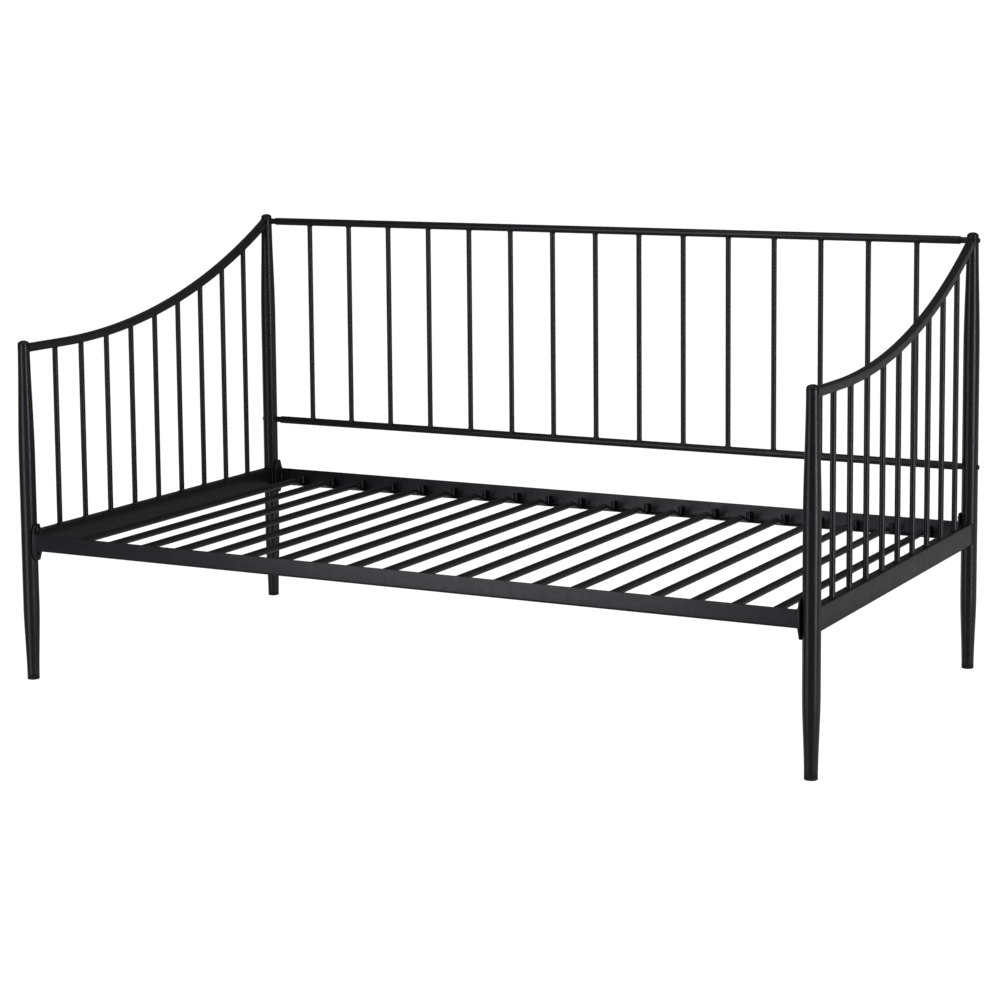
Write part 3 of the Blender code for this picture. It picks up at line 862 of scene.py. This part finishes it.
def bolt_mesh():
    """Button-headed bolt with a hexagon socket, head towards +Z and seat at the origin."""
    sides = 48
    rim = BOLT_HEAD_HEIGHT * BOLT_RIM

    def dome(radius):
        share = math.sqrt(max(1 - (radius / BOLT_HEAD_RADIUS) ** 2, 0.0))
        return rim + (BOLT_HEAD_HEIGHT - rim) * share

    def hexagon(size, z=None):
        """A six-sided ring, level at z, or else lying on the dome."""
        ring = []
        for k in range(sides):
            angle = 2 * math.pi * k / sides
            off = (angle + math.pi / 6) % (math.pi / 3) - math.pi / 6
            r = size / math.cos(off)
            ring.append((r * math.cos(angle), r * math.sin(angle), dome(r) if z is None else z))
        return ring

    floor = BOLT_HEAD_HEIGHT - SOCKET_DEPTH
    rings = [ring_at(SOCKET_RADIUS * 0.4, floor, sides), hexagon(SOCKET_RADIUS, floor),
             hexagon(SOCKET_RADIUS, BOLT_HEAD_HEIGHT - SOCKET_WALL_TOP),
             hexagon(SOCKET_RADIUS + SOCKET_CHAMFER)]
    for share in (0.62, 0.74, 0.84, 0.92, 0.97, 1.0):
        radius = BOLT_HEAD_RADIUS * share
        rings.append(ring_at(radius, dome(radius), sides))
    inward, upward = BOLT_SEAT_CHAMFER
    for radius, z in ((BOLT_HEAD_RADIUS, upward), (BOLT_HEAD_RADIUS - inward, -BOLT_SINK),
                      (BOLT_RADIUS, -BOLT_SINK), (BOLT_RADIUS, -BOLT_SHANK)):
        rings.append(ring_at(radius, z, sides))
    bm = bmesh.new()
    add_rings(bm, rings)
    mesh = to_mesh("rail_bolt", bm)
    dress_mesh(mesh, ZINC, 35)
    return mesh


def make_bolts():
    """Bolts in the corner plates face the bed's middle; those of the back rails face outward."""
    mesh = bolt_mesh()
    for node in sorted(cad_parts):
        if "bolt" not in node:
            continue
        low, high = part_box(node)
        centre = (low + high) / 2
        away = 1 if centre.x > 0 else -1
        outward = -away if node.startswith("rail_bolt") else away
        head = high.x if outward > 0 else low.x
        seat = head - outward * BOLT_HEAD_HEIGHT
        turn = Matrix.Rotation(outward * math.pi / 2, 4, "Y")
        spin = Matrix.Rotation(random.uniform(0, math.pi / 3), 4, "Z")
        place = Matrix.Translation((seat, centre.y, centre.z)) @ turn @ spin
        piece = place_mesh(f"screw_{node}", mesh, place)
        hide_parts(node)


# ---------------------------------------------------------------- assembly

for (face, end), post in POSTS.items():
    make_post(post)
    make_cap(post)
    make_glide(post)
    make_plate(face, end)

for end in ENDS:
    arm = Arm(end)
    make_arm(arm)
    make_end_frame(arm)

make_back()
for face in FACES:
    make_side_rail(face)
make_slats()
make_bolts()


# ---------------------------------------------------------------- floor, light and camera

def make_floor():
    """A pale, softly glowing floor, which isn't mirrored in the dark paint."""
    bpy.ops.mesh.primitive_plane_add(size=160, location=(0, 0, 0))
    floor = bpy.context.object
    floor.name = "floor"
    material = bpy.data.materials.new("pale_floor")
    material.use_nodes = True
    tree = material.node_tree
    shader = tree.nodes["Principled BSDF"]
    place = tree.nodes.new("ShaderNodeTexCoord").outputs["Object"]
    tone = spread(tree, noise(tree, place, 1.5, 3.0, 0.5), 0.0, 1.0)
    tree.links.new(blend_colours(tree, tone, (0.90, 0.90, 0.90), (0.93, 0.93, 0.93)),
                   shader.inputs["Base Color"])
    shader.inputs["Roughness"].default_value = 0.75
    shader.inputs["Specular IOR Level"].default_value = 0.0
    shader.inputs["Emission Color"].default_value = (1, 1, 1, 1)
    shader.inputs["Emission Strength"].default_value = FLOOR_GLOW
    floor.data.materials.append(material)
    floor.visible_glossy = False
    floor.visible_diffuse = False
    floor.visible_shadow = False


def make_backdrop():
    """A plain white surround beyond the floor, which casts no light."""
    bpy.ops.mesh.primitive_uv_sphere_add(radius=70, segments=48, ring_count=24)
    dome = bpy.context.object
    dome.name = "backdrop"
    material = bpy.data.materials.new("white_backdrop")
    material.use_nodes = True
    shader = material.node_tree.nodes["Principled BSDF"]
    shader.inputs["Base Color"].default_value = (0, 0, 0, 1)
    shader.inputs["Specular IOR Level"].default_value = 0.0
    shader.inputs["Emission Color"].default_value = (1, 1, 1, 1)
    shader.inputs["Emission Strength"].default_value = BACKDROP_GLOW
    dome.data.materials.append(material)
    for rays in ("visible_diffuse", "visible_glossy", "visible_shadow", "visible_transmission"):
        setattr(dome, rays, False)


def soft_light(name, place, target, width, height, power, colour=(1.0, 1.0, 1.0)):
    """A soft box at a place, turned to a target."""
    lamp = bpy.data.lights.new(name, "AREA")
    lamp.color = colour
    lamp.shape = "RECTANGLE"
    lamp.size = width
    lamp.size_y = height
    lamp.energy = power
    holder = link_object(name, lamp)
    holder.location = place
    aim = Vector(target) - Vector(place)
    holder.rotation_euler = aim.to_track_quat("-Z", "Y").to_euler()


def make_world():
    """Dim studio surround: a little light from below and above, darker level with the floor."""
    world = bpy.data.worlds.new("studio")
    bpy.context.scene.world = world
    world.use_nodes = True
    tree = world.node_tree
    direction = tree.nodes.new("ShaderNodeTexCoord").outputs["Generated"]
    split = tree.nodes.new("ShaderNodeSeparateXYZ")
    tree.links.new(direction, split.inputs["Vector"])
    ramp = tree.nodes.new("ShaderNodeValToRGB")
    ramp.color_ramp.interpolation = "EASE"
    first, last = ramp.color_ramp.elements[0], ramp.color_ramp.elements[1]
    first.position, last.position = 0.30, 1.0
    first.color = (WORLD_BELOW, WORLD_BELOW, WORLD_BELOW, 1)
    last.color = (WORLD_ABOVE, WORLD_ABOVE, WORLD_ABOVE, 1)
    level = ramp.color_ramp.elements.new(0.52)
    level.color = (WORLD_LEVEL, WORLD_LEVEL, WORLD_LEVEL, 1)
    lift = tree.nodes.new("ShaderNodeMapRange")
    lift.inputs["From Min"].default_value = -1.0
    tree.links.new(split.outputs["Z"], lift.inputs["Value"])
    tree.links.new(lift.outputs["Result"], ramp.inputs["Fac"])
    tree.links.new(ramp.outputs["Color"], tree.nodes["Background"].inputs["Color"])


def make_camera():
    """A long-lens camera at standing height, off the front right corner."""
    yaw, pitch, roll = 0.47054, 0.11535, -0.00703
    place = Vector((2.75984, -5.21593, 1.45460))
    forward = Vector((-math.sin(yaw) * math.cos(pitch), math.cos(yaw) * math.cos(pitch),
                      -math.sin(pitch)))
    level = Vector((math.cos(yaw), math.sin(yaw), 0))
    upward = level.cross(forward)
    right = level * math.cos(roll) + upward * math.sin(roll)
    up = upward * math.cos(roll) - level * math.sin(roll)
    data = bpy.data.cameras.new("camera")
    sensor = 36
    data.sensor_width = sensor
    data.lens = 2.54174 * sensor
    data.shift_x = -0.04
    data.shift_y = -0.15
    data.clip_end = 200
    camera = link_object("camera", data)
    camera.matrix_world = Matrix(((right.x, up.x, -forward.x, place.x),
                                  (right.y, up.y, -forward.y, place.y),
                                  (right.z, up.z, -forward.z, place.z), (0, 0, 0, 1)))
    bpy.context.scene.camera = camera


make_floor()
make_world()
make_backdrop()
# The first three give the front and the right end their tones; the back boxes serve other views.
soft_light("left_box", (-1.4, -3.7, 0.85), (-0.3, 0, 0.7), 1.5, 3.7, 34,
           (0.97, 0.96, 1.05))
soft_light("right_box", (6.0, -2.0, 1.20), (0.4, 0, 0.6), 1.3, 4.4, 115)
soft_light("rear_box", (3.0, 3.6, 0.70), (0.9, 0, 0.4), 2.6, 3.0, 6)
soft_light("back_left_box", (-6.2, 2.6, -1.20), (0, 0.2, 0.4), 3.2, 2.6, 26)
soft_light("back_right_box", (6.0, 3.0, -1.30), (0.2, 0.2, 0.4), 2.4, 2.2, 12)
soft_light("top_box", (0.2, -1.0, 3.8), (0, 0.1, 0.3), 3.0, 1.2, 13)
make_camera()
bpy.context.scene.view_settings.view_transform = "Standard"
